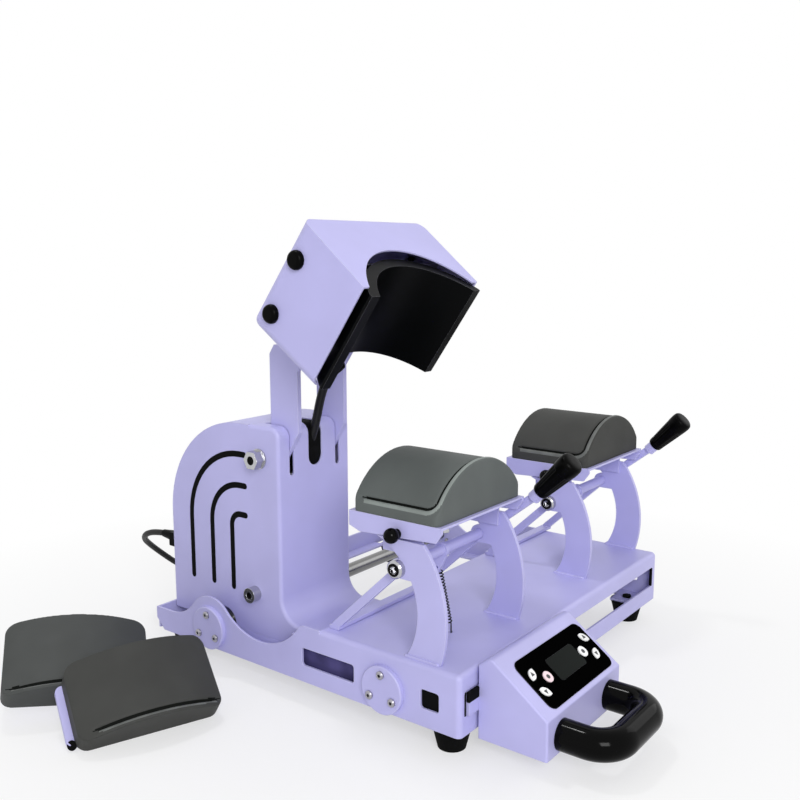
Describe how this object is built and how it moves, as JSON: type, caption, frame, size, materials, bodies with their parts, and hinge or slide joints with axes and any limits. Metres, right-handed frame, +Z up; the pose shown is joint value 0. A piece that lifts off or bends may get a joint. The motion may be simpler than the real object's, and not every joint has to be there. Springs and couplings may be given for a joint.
{
  "type": "cap heat press",
  "caption": "Electric heat press for caps: a swing head on a sliding tower moves between two curved hat stations on a folded steel base, with a control box and handle in front.",
  "frame": {"origin": "centre of the sole of the front left rubber foot, on the surface that the press stands on", "axes": "+X to the right along the rails, +Y to the back, +Z up"},
  "size_m": [0.6437, 0.6482, 0.4691],
  "materials": {
    "lavender_paint": "satin powder coat",
    "black_rubber": "matte",
    "rail_steel": "black oxide, ground",
    "zinc_steel": "zinc plated",
    "chrome": "bright",
    "black_cable": "soft sheath",
    "aluminium_case": "satin",
    "heater_coating": "non-stick coating, semi gloss",
    "black_plastic": "fine satin",
    "gloss_black": "gloss",
    "panel_film": "satin film",
    "display_glass": "smoked",
    "board_green": "solder mask",
    "key_white": "satin",
    "key_power": "satin",
    "dark_spring": "oiled wire",
    "silicone_grey": "matte silicone",
    "silicone_dark": "matte silicone"
  },
  "bodies": {
    "base": {"base_shell": "lavender_paint", "base_rear_wall": "lavender_paint", "rubber_feet": "black_rubber", "rails": "rail_steel", "rail_flanges": "lavender_paint", "flange_screws": "zinc_steel", "station_bolts": "chrome", "legs_1": "lavender_paint", "legs_2": "lavender_paint", "saddle_1": "lavender_paint", "saddle_2": "lavender_paint", "spring_1": "dark_spring", "spring_2": "dark_spring"},
    "carriage": {"carriage_plate": "lavender_paint", "bearing_blocks": "zinc_steel", "linear_bearings": "rail_steel", "tower_shell": "lavender_paint", "tower_rear_cover": "lavender_paint", "tower_bolts": "chrome", "control_box": "lavender_paint", "control_panel": "panel_film", "display_window": "display_glass", "control_board": "board_green", "handle": "gloss_black", "power_inlet": "black_plastic", "power_connector": "black_plastic", "cord_tube": "black_cable", "cord_coil": "black_cable", "mains_plug": "black_plastic"},
    "arms": {"arm_plates": "lavender_paint", "arm_hub": "zinc_steel", "heater_cable": "black_cable"},
    "head": {"head_cover": "lavender_paint", "heater_plate": "heater_coating", "heater_bracket": "zinc_steel", "float_shaft": "zinc_steel", "head_knobs": "black_plastic"},
    "actuator_case": {"actuator_body": "aluminium_case"},
    "actuator_ram": {"actuator_rod": "chrome"},
    "rocker": {"rocker_switch": "black_plastic"},
    "button_time_up_key": {"button_time_up": "key_white"},
    "button_time_down_key": {"button_time_down": "key_white"},
    "button_set_key": {"button_set": "key_white"},
    "button_temp_up_key": {"button_temp_up": "key_white"},
    "button_power_key": {"button_power": "key_power"},
    "button_temp_down_key": {"button_temp_down": "key_white"},
    "yoke_1_frame": {"yoke_1": "lavender_paint", "yoke_grip_1": "black_plastic"},
    "platen_1": {"platen_plate_1": "lavender_paint", "platen_pad_1": "silicone_grey"},
    "knob_1": {"clamp_knob_1": "gloss_black"},
    "spare_1": {"spare_pad_1": "silicone_dark", "spare_plate_1": "lavender_paint"},
    "yoke_2_frame": {"yoke_2": "lavender_paint", "yoke_grip_2": "black_plastic"},
    "platen_2": {"platen_plate_2": "lavender_paint", "platen_pad_2": "silicone_grey"},
    "knob_2": {"clamp_knob_2": "gloss_black"},
    "spare_2": {"spare_pad_2": "silicone_dark", "spare_plate_2": "lavender_paint"}
  },
  "joints": [
    {"name": "carriage_slide", "type": "slide", "parent": "base", "child": "carriage", "axis": [1, 0, 0], "range_m": [0, 0.278]},
    {"name": "arm_hinge", "type": "hinge", "parent": "carriage", "child": "arms", "pos_m": [0.0498, 0.2351, 0.233], "axis": [-1, 0, 0], "range_deg": [-46.5, 0]},
    {"name": "head_float", "type": "hinge", "parent": "arms", "child": "head", "pos_m": [0.0498, 0.15596, 0.40355], "axis": [-1, 0, 0], "range_deg": [-8.6, 0]},
    {"name": "actuator_swing", "type": "hinge", "parent": "carriage", "child": "actuator_case", "pos_m": [0.0498, 0.2448, 0.0888], "axis": [1, 0, 0], "range_deg": [-6.2, 0]},
    {"name": "actuator_stroke", "type": "slide", "parent": "actuator_case", "child": "actuator_ram", "axis": [0, 0.0823, 0.9966], "range_m": [0, 0.0245]},
    {"name": "rocker_tilt", "type": "hinge", "parent": "carriage", "child": "rocker", "pos_m": [0.02, 0.3715, 0.146], "axis": [1, 0, 0], "range_deg": [0, 14]},
    {"name": "button_time_up_press", "type": "slide", "parent": "carriage", "child": "button_time_up_key", "axis": [0, 0.5886, -0.8084], "range_m": [0, 0.0008], "stiffness_N_per_m": 400},
    {"name": "button_time_down_press", "type": "slide", "parent": "carriage", "child": "button_time_down_key", "axis": [0, 0.5886, -0.8084], "range_m": [0, 0.0008], "stiffness_N_per_m": 400},
    {"name": "button_set_press", "type": "slide", "parent": "carriage", "child": "button_set_key", "axis": [0, 0.5886, -0.8084], "range_m": [0, 0.0008], "stiffness_N_per_m": 400},
    {"name": "button_temp_up_press", "type": "slide", "parent": "carriage", "child": "button_temp_up_key", "axis": [0, 0.5886, -0.8084], "range_m": [0, 0.0008], "stiffness_N_per_m": 400},
    {"name": "button_power_press", "type": "slide", "parent": "carriage", "child": "button_power_key", "axis": [0, 0.5886, -0.8084], "range_m": [0, 0.0008], "stiffness_N_per_m": 400},
    {"name": "button_temp_down_press", "type": "slide", "parent": "carriage", "child": "button_temp_down_key", "axis": [0, 0.5886, -0.8084], "range_m": [0, 0.0008], "stiffness_N_per_m": 400},
    {"name": "yoke_1_hinge", "type": "hinge", "parent": "base", "child": "yoke_1_frame", "pos_m": [0.0498, 0.047, 0.161], "axis": [1, 0, 0], "range_deg": [0, 35], "deforming": ["spring_1"]},
    {"name": "platen_1_lift", "type": "slide", "parent": "base", "child": "platen_1", "axis": [0, 0, 1], "range_m": [0, 0.03]},
    {"name": "knob_1_turn", "type": "hinge", "parent": "base", "child": "knob_1", "pos_m": [-0.0282, 0.0465, 0.1935], "axis": [1, 0, 0], "range_deg": [-180, 180]},
    {"name": "spare_1_lift", "type": "slide", "parent": "base", "child": "spare_1", "axis": [0, 0.8, 0.6], "range_m": [0, 0.03]},
    {"name": "yoke_2_hinge", "type": "hinge", "parent": "base", "child": "yoke_2_frame", "pos_m": [0.3278, 0.047, 0.161], "axis": [1, 0, 0], "range_deg": [0, 35], "deforming": ["spring_2"]},
    {"name": "platen_2_lift", "type": "slide", "parent": "base", "child": "platen_2", "axis": [0, 0, 1], "range_m": [0, 0.03]},
    {"name": "knob_2_turn", "type": "hinge", "parent": "base", "child": "knob_2", "pos_m": [0.2498, 0.0465, 0.1935], "axis": [1, 0, 0], "range_deg": [-180, 180]},
    {"name": "spare_2_lift", "type": "slide", "parent": "base", "child": "spare_2", "axis": [0, 0, 1], "range_m": [0, 0.03]}
  ],
  "couplings": [
    {"joint": "head_float", "follows": "arm_hinge", "ratio": 0.1828},
    {"joint": "actuator_swing", "follows": "arm_hinge", "ratio": 0.13027},
    {"joint": "actuator_stroke", "follows": "arm_hinge", "m_per_rad": -0.029464}
  ]
}
